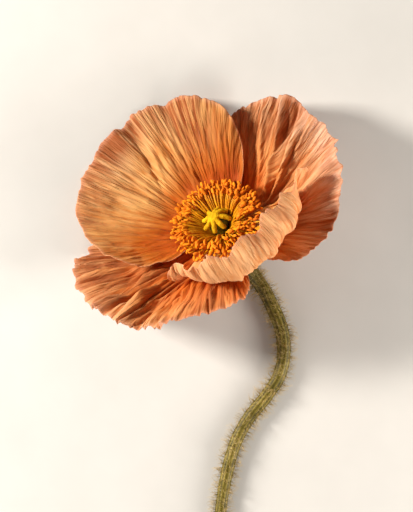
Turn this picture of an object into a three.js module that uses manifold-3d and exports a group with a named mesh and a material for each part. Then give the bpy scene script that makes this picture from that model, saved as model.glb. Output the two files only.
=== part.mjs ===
// One poppy bloom on its cut stem, picked and laid down: four petals in two pairs, a ring of stamens and
// the seed pod with its rayed stigma. Millimetres, +Z up, the table is z = 0.
import * as THREE from "three";
import { mergeVertices } from "three/addons/utils/BufferGeometryUtils.js";
import Module from "manifold-3d";

const wasm = await Module();
wasm.setup();

// ---------------------------------------------------------------- driving dimensions
// Where the middle of the receptacle is, and which way the bloom looks.
const FLOWER_AT = new THREE.Vector3(6.1, 36, 14);
const TILT = 40; // degrees between the bloom's axis and vertical
const HEADING = 125; // degrees from +X, the side the bloom leans to

const BLADE = 0.8; // thickness of a petal
const PETAL_ROOT = 3.7; // from the bloom's axis to where the petals start
const COLUMNS_PER_ROW = 2; // petal mesh: columns between two rows of the outline
const PETAL_STEPS = 17; // petal mesh: steps from the root to the rim
const TABLE_REST = 0.22; // the lowest a petal's middle surface goes
const TABLE_SOFTNESS = 0.5; // how gradually a petal flattens on the table

const RECEPTACLE_RADIUS = 3.4;
const RECEPTACLE_TOP = 1.3; // along the bloom's axis
const STEM_RADIUS_TOP = 2.4;
const STEM_RADIUS_CUT = 1.7;
const STEM_SIDES = 8;
const NECK_RADIUS = 26.6; // bend that brings the stem down on to the table
const NECK_START = 3.2; // straight part under the bloom

const SEAT = 0.3; // gap where two pieces meet
const OVARY_SIDES = 12;
const STIGMA_RAYS = 8;
const STIGMA_TOP = 10.1; // along the bloom's axis
const RAY_REACH = 5.2;
const RAY_DROOP = 2.5;
const RAY_RADIUS = 0.75;

const STAMENS = 93; // a multiple of the tiers
const STAMEN_TIERS = 3;
const STAMEN_SEED = 7;
const STAMEN_ROOTS = [2.9, 4.1]; // roots of the innermost and outermost tier
const FILAMENT_RADIUS = 0.26;
const ANTHER_RADIUS = 0.68;
const ANTHER_LENGTH = 2.3;
const STAMEN_REACH = [9.6, 16.4]; // nearest and farthest anther end from the axis
const STAMEN_HEIGHT = [9.6, 7.0]; // their heights along the axis
const STAMEN_SPREAD = { azimuth: 190, width: 46, reach: 3.0 }; // the outer ones lean further out there

// The stem from the end of its neck to the cut, measured from below the receptacle, x and y.
const STEM_ON_TABLE = [
  [16, -24.5],
  [19, -32],
  [19.6, -40],
  [18, -47],
  [13.9, -53.5],
  [8.6, -60],
  [4.6, -67],
  [1.9, -75],
  [0, -84],
  [-1.2, -93],
  [-2, -104],
  [-2.3, -116],
];

// Each petal is a fan of curves from its root to its outline. A row of the outline is
// [azimuth about the axis in degrees, reach from the axis, height along it, slope at the rim in degrees].
// A wave is [height at the rim, waves in a full turn, phase]; a fold is
// [azimuth, half width in degrees, height, where it starts and is full as parts of the way out].
const PETALS = {
  petal_right: {
    color: 0xe8804a,
    root: { height: -0.6, slope: 6 },
    pull: [0.4, 0.4],
    outline: [
      [-168, 14, 0.4, 4],
      [-164, 21, 0.8, 4],
      [-157, 28, 1.5, 5],
      [-145, 35, 3, 8],
      [-131, 40, 5.5, 12],
      [-118, 43, 10.5, 20],
      [-104, 44.3, 13.5, 28],
      [-91, 44.7, 13.5, 25],
      [-79, 45, 14, 25],
      [-68, 46, 14, 25],
      [-55, 44, 13, 24],
      [-42, 41, 11, 22],
      [-31, 35, 6.2, 20],
      [-23, 25, 4, 14],
      [-19, 14, 2, 10],
    ],
    waves: [[0.45, 17, 0.5]],
    folds: [
      [-82, 4, 1.5, 0.25, 0.8],
      [-68, 3, 0.9, 0.5, 0.95],
      [-97, 7, -1.6, 0.2, 0.6],
      [-111, 5, 0.8, 0.5, 0.9],
    ],
  },
  petal_left: {
    color: 0xe98c50,
    root: { height: -0.6, slope: 3 },
    pull: [0.4, 0.4],
    outline: [
      [45, 15, 0.5, 3],
      [47, 26, 1.1, 4],
      [50, 37, 1.6, 6],
      [57, 46, 2.8, 8],
      [67, 50.5, 4, 10],
      [80, 50, 5.5, 12],
      [92, 47, 6, 12],
      [104, 44.5, 6, 12],
      [116, 41, 6, 10],
      [129, 36.5, 6, 10],
      [143, 34, 6, 8],
      [156, 32, 5, 4],
      [167, 30.5, 4, 0],
      [175, 24, 2.6, 0],
      [179, 14, 1, 2],
    ],
    waves: [
      [0.6, 20, 1.1],
      [0.3, 11, 2.2],
    ],
    folds: [
      [64, 3.5, 1.1, 0.5, 1],
      [100, 4, 1.6, 0.35, 0.75],
      [111, 5, -1.3, 0.3, 0.7],
    ],
  },
  petal_back: {
    color: 0xf0a468,
    root: { height: 0.7, slope: 12 },
    pull: [0.4, 0.4],
    outline: [
      [-61, 13, 3.2, 24],
      [-57, 20, 7.4, 28],
      [-50, 28.5, 14, 26],
      [-42, 34, 19, 20],
      [-31, 38.2, 21, 14],
      [-15, 43.1, 21, 10],
      [0, 45.6, 21, 12],
      [14, 46.7, 21, 20],
      [29, 46.5, 20, 28],
      [43, 46, 18.5, 30],
      [57, 43.5, 16, 30],
      [69, 39, 13.5, 28],
      [80, 32, 9.8, 24],
      [88, 23, 6, 20],
      [92, 13, 3, 16],
    ],
    waves: [
      [0.4, 11, 0.4],
      [0.35, 19, 2.1],
    ],
    folds: [[7, 3.5, -1.1, 0.6, 1]],
  },
  petal_front: {
    color: 0xf6b888,
    root: { height: 0.7, slope: 7 },
    pull: [0.74, 0.38],
    outline: [
      [112, 24.2, 5.4, 27],
      [113, 24.8, 8.2, 62],
      [115, 23.6, 11.4, 116],
      [119, 21.2, 13.2, 120],
      [126, 22, 14.6, 108],
      [134, 23.3, 15.5, 92],
      [143, 24.3, 17, 102],
      [150, 25, 19.5, 110],
      [156, 25.8, 22.5, 116],
      [161, 26.3, 24.8, 120],
      [167, 27, 22.3, 123],
      [174, 27.3, 22, 126],
      [179, 27.3, 24, 128],
      [184, 27.5, 26, 129],
      [189, 28, 26.4, 130],
      [194, 28.3, 23.5, 131],
      [200, 27.6, 23.6, 132],
      [204, 27.6, 25.6, 133],
      [207, 28, 26.6, 133],
      [212, 27, 23.5, 134],
      [219, 28.5, 22, 134],
      [225, 28.8, 23.3, 126],
      [230, 30.1, 20.5, 112],
      [235, 30.7, 19, 94],
      [239, 31.3, 20.5, 78],
      [243, 32.4, 22.5, 60],
      [246, 34.4, 19.5, 52],
      [249, 33.8, 15, 42],
      [251, 31, 11, 36],
      [253, 25, 7, 30],
    ],
    waves: [[0.4, 23, 0.9]],
    folds: [],
  },
};

// ---------------------------------------------------------------- the bloom's own frame
const degrees = Math.PI / 180;
const lean = new THREE.Vector3(Math.cos(HEADING * degrees), Math.sin(HEADING * degrees), 0);
const up = new THREE.Vector3(0, 0, 1);
const axis = lean
  .clone()
  .multiplyScalar(Math.sin(TILT * degrees))
  .addScaledVector(up, Math.cos(TILT * degrees));
const upslope = lean
  .clone()
  .multiplyScalar(Math.cos(TILT * degrees))
  .addScaledVector(up, -Math.sin(TILT * degrees));
const across = new THREE.Vector3().crossVectors(axis, upslope);

// A point from its reach, azimuth and height in the bloom's frame.
function bloomPoint(reach, azimuth, height) {
  return FLOWER_AT.clone()
    .addScaledVector(upslope, reach * Math.cos(azimuth * degrees))
    .addScaledVector(across, reach * Math.sin(azimuth * degrees))
    .addScaledVector(axis, height);
}

// ---------------------------------------------------------------- small helpers
// Even draws from 0 to 1 that are the same in every build.
function draws(seed) {
  let state = seed;
  return () => {
    state = (state * 1664525 + 1013904223) % 4294967296;
    return state / 4294967296;
  };
}

function smooth(from, to, value) {
  const part = Math.min(Math.max((value - from) / (to - from), 0), 1);
  return part * part * (3 - 2 * part);
}

function mix(a, b, part) {
  return a + (b - a) * part;
}

function geometryOf(points, triangles) {
  const geometry = new THREE.BufferGeometry();
  geometry.setAttribute(
    "position",
    new THREE.Float32BufferAttribute(
      points.flatMap((p) => [p.x, p.y, p.z]),
      3,
    ),
  );
  geometry.setIndex(triangles.flat());
  return geometry;
}

// A closed body through rings of equal count, with a flat cap at each end.
function loft(rings) {
  const sides = rings[0].length;
  const triangles = [];
  for (let i = 0; i + 1 < rings.length; i++) {
    for (let k = 0; k < sides; k++) {
      const a = i * sides + k;
      const b = i * sides + ((k + 1) % sides);
      triangles.push([a, b, b + sides], [a, b + sides, a + sides]);
    }
  }
  const last = (rings.length - 1) * sides;
  for (let k = 1; k + 1 < sides; k++) {
    triangles.push([0, k + 1, k], [last, last + k, last + k + 1]);
  }
  return geometryOf(rings.flat(), triangles);
}

// A tube through the points, its radius given at each; ringUp turns the rings so that a side faces down.
function tube(points, radii, sides, ringUp) {
  const rings = points.map((point, i) => {
    const before = points[Math.max(i - 1, 0)];
    const after = points[Math.min(i + 1, points.length - 1)];
    const along = after.clone().sub(before).normalize();
    const right = new THREE.Vector3().crossVectors(along, ringUp).normalize();
    const over = new THREE.Vector3().crossVectors(right, along);
    const ring = [];
    for (let k = 0; k < sides; k++) {
      const turn = ((k + 0.5) * 2 * Math.PI) / sides;
      ring.push(
        point
          .clone()
          .addScaledVector(right, radii[i] * Math.cos(turn))
          .addScaledVector(over, -radii[i] * Math.sin(turn)),
      );
    }
    return ring;
  });
  return loft(rings);
}

function solid(geometry) {
  const bare = geometry.clone();
  bare.deleteAttribute("normal");
  bare.deleteAttribute("uv");
  const merged = mergeVertices(bare, 1e-4);
  return new wasm.Manifold(
    new wasm.Mesh({
      numProp: 3,
      vertProperties: merged.attributes.position.array,
      triVerts: new Uint32Array(merged.index.array),
    }),
  );
}

function fused(geometries) {
  let whole = solid(geometries[0]);
  for (const geometry of geometries.slice(1)) {
    whole = whole.add(solid(geometry));
  }
  const made = whole.getMesh();
  const geometry = new THREE.BufferGeometry();
  geometry.setAttribute("position", new THREE.BufferAttribute(made.vertProperties, 3));
  geometry.setIndex(new THREE.BufferAttribute(made.triVerts, 1));
  return geometry;
}

// ---------------------------------------------------------------- petals
// The outline's row at a place between its given rows, on a smooth curve through them.
function outlineAt(rows, place) {
  const i = Math.min(Math.floor(place), rows.length - 2);
  const t = place - i;
  const p0 = rows[Math.max(i - 1, 0)];
  const p3 = rows[Math.min(i + 2, rows.length - 1)];
  return rows[i].map((p1, k) => {
    const p2 = rows[i + 1][k];
    const start = (p2 - p0[k]) / 2;
    const end = (p3[k] - p1) / 2;
    const bend = 2 * (p1 - p2) + start + end;
    return p1 + t * (start + t * (3 * (p2 - p1) - 2 * start - end + t * bend));
  });
}

function relief(petal, azimuth, out) {
  let height = 0;
  for (const [size, turns, phase] of petal.waves) {
    height += size * Math.sin(azimuth * degrees * turns + phase) * out ** 1.6;
  }
  for (const [at, width, size, from, to] of petal.folds) {
    height += size * Math.exp(-(((azimuth - at) / width) ** 2)) * smooth(from, to, out);
  }
  return height;
}

// Reach and height of a petal's fan curve, a cubic from the root to its place on the outline.
function fanPoint(petal, row, out) {
  const [, reach, height, slope] = row;
  const span = Math.hypot(reach - PETAL_ROOT, height - petal.root.height);
  const leave = petal.pull[0] * span;
  const arrive = petal.pull[1] * span;
  const xs = [
    PETAL_ROOT,
    PETAL_ROOT + leave * Math.cos(petal.root.slope * degrees),
    reach - arrive * Math.cos(slope * degrees),
    reach,
  ];
  const hs = [
    petal.root.height,
    petal.root.height + leave * Math.sin(petal.root.slope * degrees),
    height - arrive * Math.sin(slope * degrees),
    height,
  ];
  const back = 1 - out;
  const parts = [back ** 3, 3 * back * back * out, 3 * back * out * out, out ** 3];
  return [xs, hs].map((v) => parts.reduce((sum, part, k) => sum + part * v[k], 0));
}

// Unit normals of a grid of points, on the side the bloom faces.
function gridNormals(grid) {
  return grid.map((line, i) =>
    line.map((_, j) => {
      const outward = grid[Math.min(i + 1, grid.length - 1)][j]
        .clone()
        .sub(grid[Math.max(i - 1, 0)][j]);
      const sideways = line[Math.min(j + 1, line.length - 1)].clone().sub(line[Math.max(j - 1, 0)]);
      return outward.cross(sideways).normalize();
    }),
  );
}

function petalGeometry(petal) {
  const columns = (petal.outline.length - 1) * COLUMNS_PER_ROW;
  const grid = [];
  const reliefs = [];
  for (let i = 0; i <= PETAL_STEPS; i++) {
    const out = i / PETAL_STEPS;
    const line = [];
    const heights = [];
    for (let j = 0; j <= columns; j++) {
      const row = outlineAt(petal.outline, j / COLUMNS_PER_ROW);
      const [reach, height] = fanPoint(petal, row, out);
      line.push(bloomPoint(reach, row[0], height));
      heights.push(relief(petal, row[0], out));
    }
    grid.push(line);
    reliefs.push(heights);
  }
  const first = gridNormals(grid);
  const waved = grid.map((line, i) =>
    line.map((point, j) => {
      const moved = point.clone().addScaledVector(first[i][j], reliefs[i][j]);
      const over = moved.z - TABLE_REST;
      moved.z = TABLE_REST + (over + Math.hypot(over, TABLE_SOFTNESS)) / 2;
      return moved;
    }),
  );
  const normals = gridNormals(waved);
  const faces = [0.5, -0.5].map((side) =>
    waved.flatMap((line, i) =>
      line.map((point, j) => {
        const normal = normals[i][j];
        const sunk = Math.max((Math.abs(normal.z) * BLADE) / 2 - point.z, 0);
        return point.clone().addScaledVector(normal, side * BLADE).addScaledVector(up, sunk);
      }),
    ),
  );
  const below = faces[0].length;
  const at = (i, j) => i * (columns + 1) + j;
  const triangles = [];
  for (let i = 0; i < PETAL_STEPS; i++) {
    for (let j = 0; j < columns; j++) {
      const pairs = [
        [at(i, j), at(i + 1, j), at(i + 1, j + 1)],
        [at(i, j), at(i + 1, j + 1), at(i, j + 1)],
      ];
      for (const [a, b, c] of pairs) {
        triangles.push([a, b, c], [a + below, c + below, b + below]);
      }
    }
  }
  const edge = [];
  for (let i = 0; i < PETAL_STEPS; i++) edge.push(at(i, 0));
  for (let j = 0; j < columns; j++) edge.push(at(PETAL_STEPS, j));
  for (let i = PETAL_STEPS; i > 0; i--) edge.push(at(i, columns));
  for (let j = columns; j > 0; j--) edge.push(at(0, j));
  edge.forEach((a, k) => {
    const b = edge[(k + 1) % edge.length];
    triangles.push([b, a, a + below], [b, a + below, b + below]);
  });
  return geometryOf(faces.flat(), triangles);
}

// ---------------------------------------------------------------- stem and receptacle
// Centre line under the bloom: straight down its axis, then an arc that ends level.
function neckPoint(turned) {
  const start = (90 - TILT) * degrees;
  const run = NECK_RADIUS * (Math.sin(start) - Math.sin(start - turned));
  const drop = NECK_RADIUS * (Math.cos(start - turned) - Math.cos(start));
  return bloomPoint(0, 0, -NECK_START).addScaledVector(lean, -run).addScaledVector(up, -drop);
}

function stemGeometry() {
  const flat = Math.cos(Math.PI / STEM_SIDES);
  const heads = [
    [RECEPTACLE_TOP, RECEPTACLE_RADIUS - 0.4],
    [RECEPTACLE_TOP - 0.4, RECEPTACLE_RADIUS],
    [-1.4, RECEPTACLE_RADIUS],
    [-2.6, STEM_RADIUS_TOP + 0.15],
  ];
  const arcSteps = 7;
  const centre = [];
  for (let i = 0; i <= arcSteps; i++) {
    centre.push(neckPoint(((90 - TILT) * degrees * i) / arcSteps));
  }
  for (const [x, y] of STEM_ON_TABLE) {
    centre.push(new THREE.Vector3(FLOWER_AT.x + x, FLOWER_AT.y + y, 0));
  }
  const path = new THREE.CatmullRomCurve3(centre).getSpacedPoints(52);
  const points = heads.map(([height]) => bloomPoint(0, 0, height));
  const radii = heads.map(([, radius]) => radius);
  path.forEach((point, i) => {
    const radius = mix(STEM_RADIUS_TOP, STEM_RADIUS_CUT, i / (path.length - 1));
    point.z = Math.max(point.z, radius * flat);
    points.push(point);
    radii.push(radius);
  });
  return tube(points, radii, STEM_SIDES, up);
}

// ---------------------------------------------------------------- pistil and stamens
function turned(profile, sides) {
  const rings = profile.map(([reach, height]) => {
    const ring = [];
    for (let k = 0; k < sides; k++) {
      ring.push(bloomPoint(reach, (k * 360) / sides, height));
    }
    return ring;
  });
  return loft(rings);
}

function ovaryGeometry() {
  const base = RECEPTACLE_TOP + SEAT;
  return turned(
    [
      [1.9, base],
      [2.3, base + 0.8],
      [3.0, base + 2.6],
      [3.2, base + 3.8],
      [2.9, base + 5.0],
      [2.1, base + 6.0],
      [1.3, base + 6.5],
    ],
    OVARY_SIDES,
  );
}

function stigmaGeometry() {
  const hub = turned(
    [
      [1.1, STIGMA_TOP - 1.7],
      [1.9, STIGMA_TOP - 1.2],
      [1.8, STIGMA_TOP - 0.5],
      [1.0, STIGMA_TOP],
    ],
    8,
  );
  const rays = [];
  for (let k = 0; k < STIGMA_RAYS; k++) {
    const azimuth = (k * 360) / STIGMA_RAYS + 10;
    const points = [];
    const radii = [];
    for (let i = 0; i <= 4; i++) {
      const out = i / 4;
      const reach = mix(0.7, RAY_REACH - 0.3, out);
      points.push(bloomPoint(reach, azimuth, STIGMA_TOP - RAY_RADIUS - RAY_DROOP * out ** 1.3));
      radii.push(RAY_RADIUS * (i === 4 ? 0.6 : 1));
    }
    rays.push(tube(points, radii, 6, axis));
  }
  return fused([hub, ...rays]);
}

function stamenGeometry(azimuth, rootReach, sway, reach, height, nod) {
  const root = bloomPoint(rootReach, azimuth, RECEPTACLE_TOP + SEAT + 0.5);
  const tip = bloomPoint(reach, azimuth + sway, height);
  const belly = root.clone().lerp(tip, 0.55).addScaledVector(axis, 0.7);
  const end = bloomPoint(
    reach + ANTHER_LENGTH * Math.cos(nod * degrees),
    azimuth + sway,
    height + ANTHER_LENGTH * Math.sin(nod * degrees),
  );
  const swell = tip.clone().lerp(end, 0.4);
  return tube(
    [root, belly, tip, swell, end],
    [FILAMENT_RADIUS, FILAMENT_RADIUS, FILAMENT_RADIUS * 0.8, ANTHER_RADIUS, ANTHER_RADIUS * 0.6],
    3,
    axis,
  );
}

function stamensGeometry() {
  const base = RECEPTACLE_TOP + SEAT;
  const all = [turnedRing(2.5, 4.5, base, base + 1.1, 24)];
  const draw = draws(STAMEN_SEED);
  for (let k = 0; k < STAMENS; k++) {
    const tier = k % STAMEN_TIERS;
    const part = (tier + draw()) / STAMEN_TIERS;
    const azimuth = (k * 360) / STAMENS;
    const spread = Math.exp(-(((azimuth - STAMEN_SPREAD.azimuth) / STAMEN_SPREAD.width) ** 2));
    all.push(
      stamenGeometry(
        azimuth,
        mix(...STAMEN_ROOTS, tier / (STAMEN_TIERS - 1)),
        mix(-5, 5, draw()),
        mix(...STAMEN_REACH, part) - ANTHER_LENGTH + STAMEN_SPREAD.reach * spread * part,
        mix(...STAMEN_HEIGHT, part) + mix(-0.6, 0.6, draw()),
        mix(-25, 55, draw()),
      ),
    );
  }
  return fused(all);
}

// A flat ring about the axis, closed on itself.
function turnedRing(inner, outer, low, high, sides) {
  const profile = [
    [inner, low],
    [outer, low],
    [outer, high],
    [inner, high],
  ];
  const points = [];
  const triangles = [];
  for (let k = 0; k < sides; k++) {
    for (const [reach, height] of profile) {
      points.push(bloomPoint(reach, (k * 360) / sides, height));
    }
    const next = (k + 1) % sides;
    for (let m = 0; m < 4; m++) {
      const n = (m + 1) % 4;
      triangles.push(
        [k * 4 + m, next * 4 + m, next * 4 + n],
        [k * 4 + m, next * 4 + n, k * 4 + n],
      );
    }
  }
  return geometryOf(points, triangles);
}

// ---------------------------------------------------------------- assembly
const part = new THREE.Group();
part.name = "poppy_flower";

function addNode(name, geometry, color, roughness) {
  const material = new THREE.MeshStandardMaterial({ color, roughness, metalness: 0 });
  const mesh = new THREE.Mesh(geometry, material);
  mesh.name = name;
  part.add(mesh);
}

addNode("stem", stemGeometry(), 0x6f7a3a, 0.6);
for (const [name, petal] of Object.entries(PETALS)) {
  addNode(name, petalGeometry(petal), petal.color, 0.7);
}
addNode("ovary", ovaryGeometry(), 0x5d6b2c, 0.5);
addNode("stigma", stigmaGeometry(), 0xc8c020, 0.8);
addNode("stamens", stamensGeometry(), 0xe89a1c, 0.7);

export default part;
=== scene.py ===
# %% [markdown]
# A poppy bloom on its cut stem lies on a pale table, seen from straight above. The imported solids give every
# piece its place and its main form. This script dresses them with crinkled petals, a full ring of stamens, a
# velvety stigma and a hairy stem. First it loads the solids as a fixed frame.

import math

import bpy
import numpy as np
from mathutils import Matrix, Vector


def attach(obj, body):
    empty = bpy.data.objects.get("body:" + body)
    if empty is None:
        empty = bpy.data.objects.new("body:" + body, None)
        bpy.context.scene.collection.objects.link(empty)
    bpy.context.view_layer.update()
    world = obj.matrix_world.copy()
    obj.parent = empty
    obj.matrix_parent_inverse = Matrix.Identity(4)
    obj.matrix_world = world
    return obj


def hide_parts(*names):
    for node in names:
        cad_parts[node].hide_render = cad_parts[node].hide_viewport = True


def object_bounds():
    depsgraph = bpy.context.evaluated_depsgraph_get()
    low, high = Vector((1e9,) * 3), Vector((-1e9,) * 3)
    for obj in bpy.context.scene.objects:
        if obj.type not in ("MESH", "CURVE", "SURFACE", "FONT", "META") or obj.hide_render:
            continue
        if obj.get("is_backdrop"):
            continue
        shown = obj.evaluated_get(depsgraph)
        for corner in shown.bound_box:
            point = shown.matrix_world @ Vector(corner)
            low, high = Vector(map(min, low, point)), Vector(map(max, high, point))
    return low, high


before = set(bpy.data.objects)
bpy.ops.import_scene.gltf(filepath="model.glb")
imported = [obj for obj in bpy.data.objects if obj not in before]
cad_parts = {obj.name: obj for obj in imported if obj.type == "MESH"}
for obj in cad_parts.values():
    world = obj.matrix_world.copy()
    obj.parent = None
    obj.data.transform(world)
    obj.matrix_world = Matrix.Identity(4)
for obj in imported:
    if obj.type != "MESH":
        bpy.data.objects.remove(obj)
cad_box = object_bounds()
MM = 0.001  # everything below is worked out in millimetres
print("nodes:", sorted(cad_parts))

# %% [markdown]
# A flower is easiest to describe about its own axis: how far out, at which azimuth and how high. One function
# turns those three numbers into a place on the table, so every later piece is written as if the bloom stood
# upright.

# %% The bloom's own frame
FLOWER_AT = np.array([6.1, 36.0, 14.0])  # middle of the receptacle
TILT = math.radians(40)
HEADING = math.radians(125)
UP = np.array([0.0, 0.0, 1.0])
LEAN = np.array([math.cos(HEADING), math.sin(HEADING), 0.0])
AXIS = LEAN * math.sin(TILT) + UP * math.cos(TILT)
UPSLOPE = LEAN * math.cos(TILT) - UP * math.sin(TILT)
ACROSS = np.cross(AXIS, UPSLOPE)


def bloom_point(reach, azimuth, height):
    """Places in millimetres from reach, azimuth in degrees and height, which may be arrays."""
    reach, azimuth, height = np.broadcast_arrays(reach, np.radians(azimuth), height)
    return (
        FLOWER_AT
        + (reach * np.cos(azimuth))[..., None] * UPSLOPE
        + (reach * np.sin(azimuth))[..., None] * ACROSS
        + height[..., None] * AXIS
    )


def smooth(start, end, value):
    """0 up to start, 1 from end on and a soft step between. With start past end it falls instead."""
    part = np.clip((value - start) / (end - start), 0, 1)
    return part * part * (3 - 2 * part)


def unit(vectors):
    return vectors / np.linalg.norm(vectors, axis=-1, keepdims=True)


def length_along(points):
    """Length along a line of points, from the first one to each."""
    return np.concatenate([[0], np.cumsum(np.linalg.norm(np.diff(points, axis=0), axis=1))])


def cubic(here, there, leave, arrive, t):
    """The curve from here to there with a given direction at each end, for t from 0 to 1."""
    bend = 2 * (here - there) + leave + arrive
    return here + t * (leave + t * (3 * (there - here) - 2 * leave - arrive + t * bend))


print("axis leans", round(math.degrees(TILT)), "degrees towards", LEAN.round(2))

# %% [markdown]
# Petal crinkles are irregular, but they must come out the same each time. Value noise does that: random
# numbers on a grid, drawn from a fixed seed, with smooth steps between them. A petal's creases fan out and
# split as they go. So the fan noise blends layers whose angular spacing halves each time the reach doubles.

# %% Noise that repeats
TABLE_SIZE = 256
DEGREES = 57.3  # in a radian


def noise(x, y, seed):
    """Smooth noise from -1 to 1, one unit between its random values."""
    table = np.random.default_rng(seed).uniform(-1, 1, (TABLE_SIZE, TABLE_SIZE))
    x, y = np.broadcast_arrays(x, y)
    column, row = np.floor(x).astype(int), np.floor(y).astype(int)
    fx, fy = x - column, y - row
    fx, fy = fx * fx * (3 - 2 * fx), fy * fy * (3 - 2 * fy)

    def on_row(number):
        left, right = (table[(column + step) % TABLE_SIZE, number % TABLE_SIZE] for step in (0, 1))
        return left * (1 - fx) + right * fx

    return on_row(row) * (1 - fy) + on_row(row + 1) * fy


def fan_noise(azimuth, reach, along, spacing, stretch, seed):
    """Noise in creases that fan out: spacing is between creases and stretch along them, in mm."""
    total = np.zeros(np.broadcast(azimuth, reach, along).shape)
    for level, level_reach in enumerate((6, 12, 24, 48)):
        share = np.clip(1 - np.abs(np.log2(np.maximum(reach, 6) / level_reach)), 0, 1)
        step = math.degrees(spacing / level_reach)
        total += share * noise(azimuth / step, along / stretch, seed + level)
    return total


print("noise sample", noise(np.array([0.5, 1.5]), 0.5, 1).round(3))

# %% [markdown]
# Each petal is a fan of curves from its root to its outline. A row of the outline gives azimuth, reach,
# height and the slope at the rim. Waves run round the petal, and folds are single ridges or troughs. These
# are the solids' own numbers. The scene adds sharp creases, the strengths of the fine relief, and colour. The
# wash says around which azimuth the petal is palest. It is partly the petal's own colour and partly painted
# light and shade: paler where the petal lies in the light, darker where it turns away or lies in shade. A
# dusk patch is darker, partly a dusky tint and partly painted shade where a fold or another petal shades
# it: azimuth, width, where it sets in on the way out, and strength. Where that stretch runs backwards, the
# patch fades out instead.

# %% The four petals' numbers
PETAL_ROOT = 3.7
PETALS = {}
PETALS["petal_right"] = dict(
    slot="petal_outer", root=(-0.6, 6), pull=(0.4, 0.4),
    outline=[
        (-168, 14, 0.4, 4), (-164, 21, 0.8, 4), (-157, 28, 1.5, 5), (-145, 35, 3, 8), (-131, 40, 5.5, 12),
        (-118, 43, 10.5, 20), (-104, 44.3, 13.5, 28), (-91, 44.7, 13.5, 25), (-79, 45, 14, 25),
        (-68, 46, 14, 25), (-55, 44, 13, 24), (-42, 41, 11, 22), (-31, 35, 6.2, 20), (-23, 25, 4, 14),
        (-19, 14, 2, 10),
    ],
    waves=[(0.45, 17, 0.5)],
    folds=[
        (-82, 4, 1.5, 0.25, 0.8), (-68, 3, 0.9, 0.5, 0.95), (-97, 7, -1.6, 0.2, 0.6),
        (-111, 5, 0.8, 0.5, 0.9),
    ],
    creases=[
        (-66.5, 1.7, 2.8, 0.3, 0.95, -40, -0.3), (-80, 1.6, 2.6, 0.3, 0.85, -26, -0.3),
        (-73, 2.4, -2.0, 0.35, 0.9, -34, 0), (-88, 2.6, -1.5, 0.35, 0.8, -14, 0),
        (-101, 6, -2.2, 0.2, 0.6, 6, 0), (-96, 1.3, -1.4, 0.75, 1, 0, 0), (-103, 2.0, 1.3, 0.6, 1, -4, 0),
        (-57, 1.6, 1.5, 0.35, 0.9, -30, 0), (-49, 1.6, 1.6, 0.3, 0.85, -26, 0),
        (-42, 1.6, -1.4, 0.3, 0.9, -20, 0),
    ],
    broad=1.1, crests=1.9, grooves=0.8, wrinkles=0.6, side=1, wash=(-106, 60, 0.2, 0.05, 1),
    dusk=[(-130, 11, 0.1, 0.4, 0.95), (-98, 9, 0.92, 0.75, 0.8), (-62, 22, 0.5, 0.8, 0.9)],
    ruffle=1.2, teeth=2.0, seed=20,
)
PETALS["petal_left"] = dict(
    slot="petal_outer", root=(-0.6, 3), pull=(0.4, 0.4),
    outline=[
        (45, 15, 0.5, 3), (47, 26, 1.1, 4), (50, 37, 1.6, 6), (57, 46, 2.8, 8), (67, 50.5, 4, 10),
        (80, 50, 5.5, 12), (92, 47, 6, 12), (104, 44.5, 6, 12), (116, 41, 6, 10), (129, 36.5, 6, 10),
        (143, 34, 6, 8), (156, 32, 5, 4), (167, 30.5, 4, 0), (175, 24, 2.6, 0), (179, 14, 1, 2),
    ],
    waves=[(0.6, 20, 1.1), (0.3, 11, 2.2)],
    folds=[(64, 3.5, 1.1, 0.5, 1), (100, 4, 1.6, 0.35, 0.75), (111, 5, -1.3, 0.3, 0.7)],
    creases=[
        (100, 1.3, 3.0, 0.4, 0.72, 0, 0.5), (64.5, 1.6, 2.2, 0.55, 1, 0, 0.3),
        (71, 1.3, 1.2, 0.6, 1, 10, 0), (86, 1.5, 1.8, 0.45, 0.95, -20, 0.3),
        (101.5, 1.5, 1.6, 0.66, 0.95, 50, 0.3), (115, 1.5, 1.6, 0.5, 0.95, 40, 0.3),
        (107, 4.5, -1.5, 0.35, 0.75, 10, 0), (93, 1.2, 1.2, 0.5, 0.9, 10, 0),
    ],
    broad=0.8, crests=3.6, grooves=2.0, wrinkles=0.5, side=1, wash=(76, 70, 0.2, -0.06, 0.84),
    dusk=[
        (68, 16, 0.4, 0.85, 1), (86, 14, 0.2, 0.5, 0.65), (107, 6, 0.1, 0.4, 0.5),
        (146, 18, 0.25, 0.75, 0.85),
    ],
    ruffle=1.5, teeth=2.2, seed=40,
)
PETALS["petal_back"] = dict(
    slot="petal_inner", root=(0.7, 12), pull=(0.4, 0.4),
    outline=[
        (-61, 13, 3.2, 24), (-57, 20, 7.4, 28), (-50, 28.5, 14, 26), (-42, 34, 19, 20), (-31, 38.2, 21, 14),
        (-15, 43.1, 21, 10), (0, 45.6, 21, 12), (14, 46.7, 21, 20), (29, 46.5, 20, 28), (43, 46, 18.5, 30),
        (57, 43.5, 16, 30), (69, 39, 13.5, 28), (80, 32, 9.8, 24), (88, 23, 6, 20), (92, 13, 3, 16),
    ],
    waves=[(0.4, 11, 0.4), (0.35, 19, 2.1)],
    folds=[(7, 3.5, -1.1, 0.6, 1)],
    creases=[
        (8.5, 2.4, -1.7, 0.5, 1, 42, 0.4), (3.5, 1.6, 0.9, 0.5, 1, 42, 0),
        (20, 1.5, -0.8, 0.5, 0.9, -20, 0), (-14, 1.5, 0.9, 0.4, 0.9, 14, 0),
        (-4, 1.8, -0.9, 0.5, 1, 20, 0.3),
    ],
    broad=1.0, crests=1.1, grooves=0.7, wrinkles=0.5, side=1, wash=(17, 54, 0.27, 0, 0.84),
    dusk=[
        (-20, 18, 0.35, 0.75, 1), (0, 10, 0.7, 0.45, 0.35), (12, 34, 0.7, 0.95, 0.9),
        (-50, 10, 0, 0.3, 0.25),
    ],
    ruffle=1.0, teeth=1.6, seed=60,
)
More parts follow.
